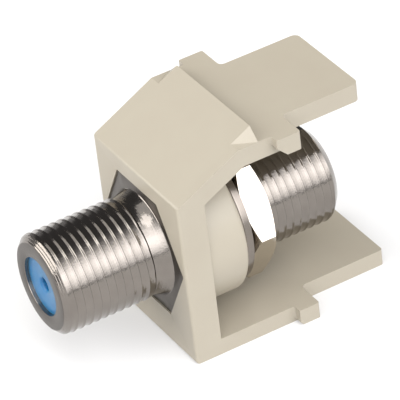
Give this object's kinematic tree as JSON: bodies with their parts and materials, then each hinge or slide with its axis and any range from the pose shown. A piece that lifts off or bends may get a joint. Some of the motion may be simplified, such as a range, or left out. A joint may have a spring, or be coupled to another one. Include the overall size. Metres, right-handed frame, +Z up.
{
  "type": "snap-in coaxial f connector module",
  "caption": "Snap-in wall-plate module with a threaded female-to-female coaxial barrel, clamped in a moulded housing by a nut and a lock washer.",
  "frame": {"origin": "on the barrel's axis, in the plane of the housing's front face", "axes": "+X to the right seen from the front, +Y to the rear along the barrel, +Z up towards the latch arm"},
  "size_m": [0.0164, 0.0314, 0.021],
  "materials": {
    "almond_plastic": "fine satin moulded",
    "plated_barrel": "bright nickel plate",
    "blue_insulator": "satin moulded",
    "contact_bronze": "plated spring bronze",
    "plated_washer": "nickel plate",
    "plated_nut": "bright nickel plate"
  },
  "bodies": {
    "module": {"housing": "almond_plastic", "connector_body": "plated_barrel", "front_insulator": "blue_insulator", "rear_insulator": "blue_insulator", "center_contact": "contact_bronze"},
    "washer": {"lock_washer": "plated_washer"},
    "nut": {"hex_nut": "plated_nut"}
  },
  "joints": [
    {"name": "nut_travel", "type": "slide", "parent": "module", "child": "washer", "axis": [0, 1, 0], "range_m": [0, 0.00952]},
    {"name": "nut_turn", "type": "hinge", "parent": "washer", "child": "nut", "pos_m": [0, 0.0088, 0], "axis": [0, 1, 0], "range_deg": [0, 4320]}
  ],
  "couplings": [
    {"joint": "nut_turn", "follows": "nut_travel", "rad_per_m": 7913.3}
  ]
}
